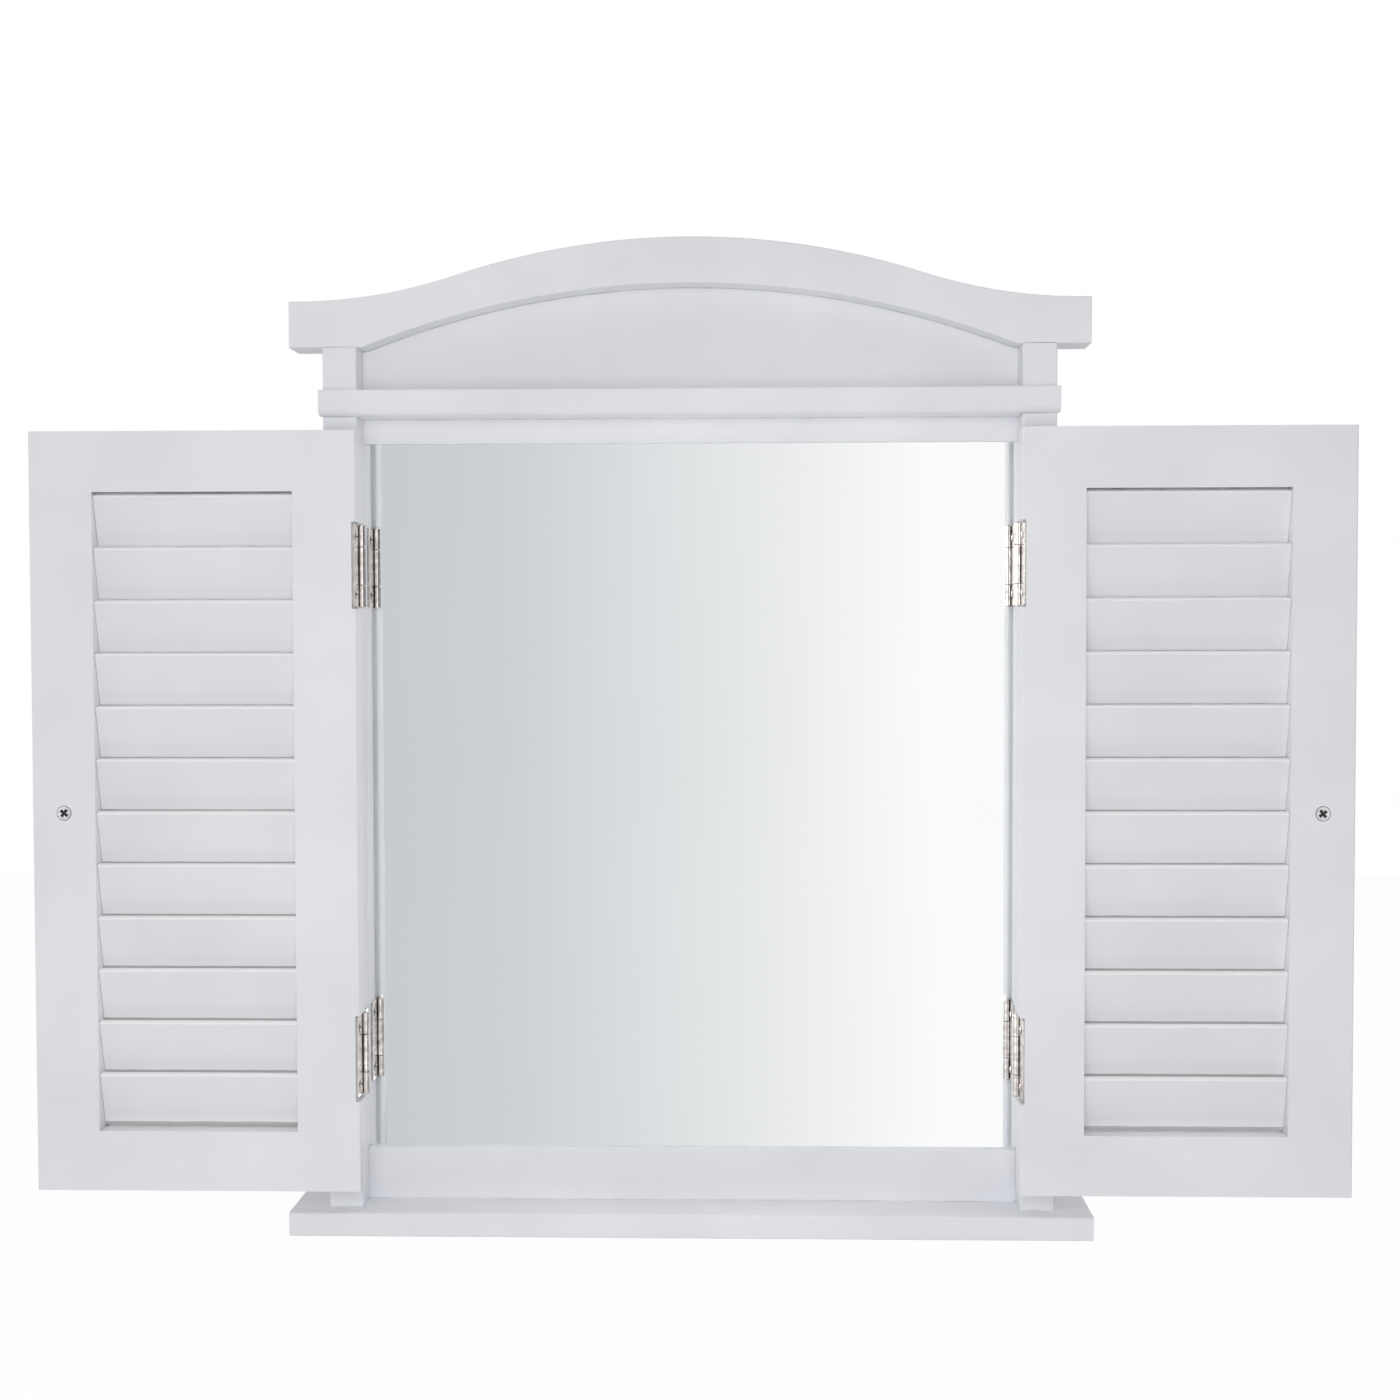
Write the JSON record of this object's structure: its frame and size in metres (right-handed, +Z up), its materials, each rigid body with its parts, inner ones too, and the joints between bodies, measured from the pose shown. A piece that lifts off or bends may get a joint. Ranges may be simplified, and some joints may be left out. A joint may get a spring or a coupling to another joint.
{
  "type": "shutter mirror",
  "caption": "Wall mirror in a white painted wooden window frame with an arched hood and a sill; louvred shutters on butt hinges close over the glass.",
  "frame": {"origin": "on the wall plane, midway between the entry holes of the two keyhole hangers in the posts' backs", "axes": "+X to the viewer's right, +Y into the wall (the viewer is at -Y), +Z up"},
  "size_m": [0.686, 0.056, 0.5251],
  "materials": {
    "white_paint": "satin paint, brushed",
    "nickel_hinge": "nickel plated",
    "zinc_screw": "bright zinc plated",
    "steel_plate": "zinc plated sheet",
    "mirror_glass": "silvered, polished",
    "hardboard": "raw hardboard",
    "beech_dowel": "raw, fluted beech"
  },
  "bodies": {
    "frame": {"arched_hood": "white_paint", "left_post": "white_paint", "right_post": "white_paint", "pediment_panel": "white_paint", "cross_moulding": "white_paint", "top_rail": "white_paint", "bottom_rail": "white_paint", "sill": "white_paint", "mirror_glass": "mirror_glass", "backing_board": "hardboard", "glazing_points": "steel_plate", "hood_dowels": "beech_dowel", "sill_screws": "zinc_screw", "hanger_plates": "steel_plate", "hanger_screws": "zinc_screw", "left_frame_leaves": "nickel_hinge", "right_frame_leaves": "nickel_hinge", "frame_leaf_screws": "nickel_hinge"},
    "left_shutter": {"left_hinge_stile": "white_paint", "left_free_stile": "white_paint", "left_door_top_rail": "white_paint", "left_door_bottom_rail": "white_paint", "left_knob": "white_paint", "left_knob_screw": "zinc_screw", "left_door_leaves": "nickel_hinge", "left_hinge_pins": "nickel_hinge", "left_door_leaf_screws": "nickel_hinge", "left_slat_01": "white_paint", "left_slat_02": "white_paint", "left_slat_03": "white_paint", "left_slat_04": "white_paint", "left_slat_05": "white_paint", "left_slat_06": "white_paint", "left_slat_07": "white_paint", "left_slat_08": "white_paint", "left_slat_09": "white_paint", "left_slat_10": "white_paint", "left_slat_11": "white_paint", "left_slat_12": "white_paint"},
    "right_shutter": {"right_hinge_stile": "white_paint", "right_free_stile": "white_paint", "right_door_top_rail": "white_paint", "right_door_bottom_rail": "white_paint", "right_knob": "white_paint", "right_knob_screw": "zinc_screw", "right_door_leaves": "nickel_hinge", "right_hinge_pins": "nickel_hinge", "right_door_leaf_screws": "nickel_hinge", "right_slat_01": "white_paint", "right_slat_02": "white_paint", "right_slat_03": "white_paint", "right_slat_04": "white_paint", "right_slat_05": "white_paint", "right_slat_06": "white_paint", "right_slat_07": "white_paint", "right_slat_08": "white_paint", "right_slat_09": "white_paint", "right_slat_10": "white_paint", "right_slat_11": "white_paint", "right_slat_12": "white_paint"}
  },
  "joints": [
    {"name": "left_shutter_hinge", "type": "hinge", "parent": "frame", "child": "left_shutter", "pos_m": [-0.172, -0.039, 0], "axis": [0, 0, 1], "range_deg": [-4, 180]},
    {"name": "right_shutter_hinge", "type": "hinge", "parent": "frame", "child": "right_shutter", "pos_m": [0.172, -0.039, 0], "axis": [0, 0, -1], "range_deg": [-4, 180]}
  ]
}
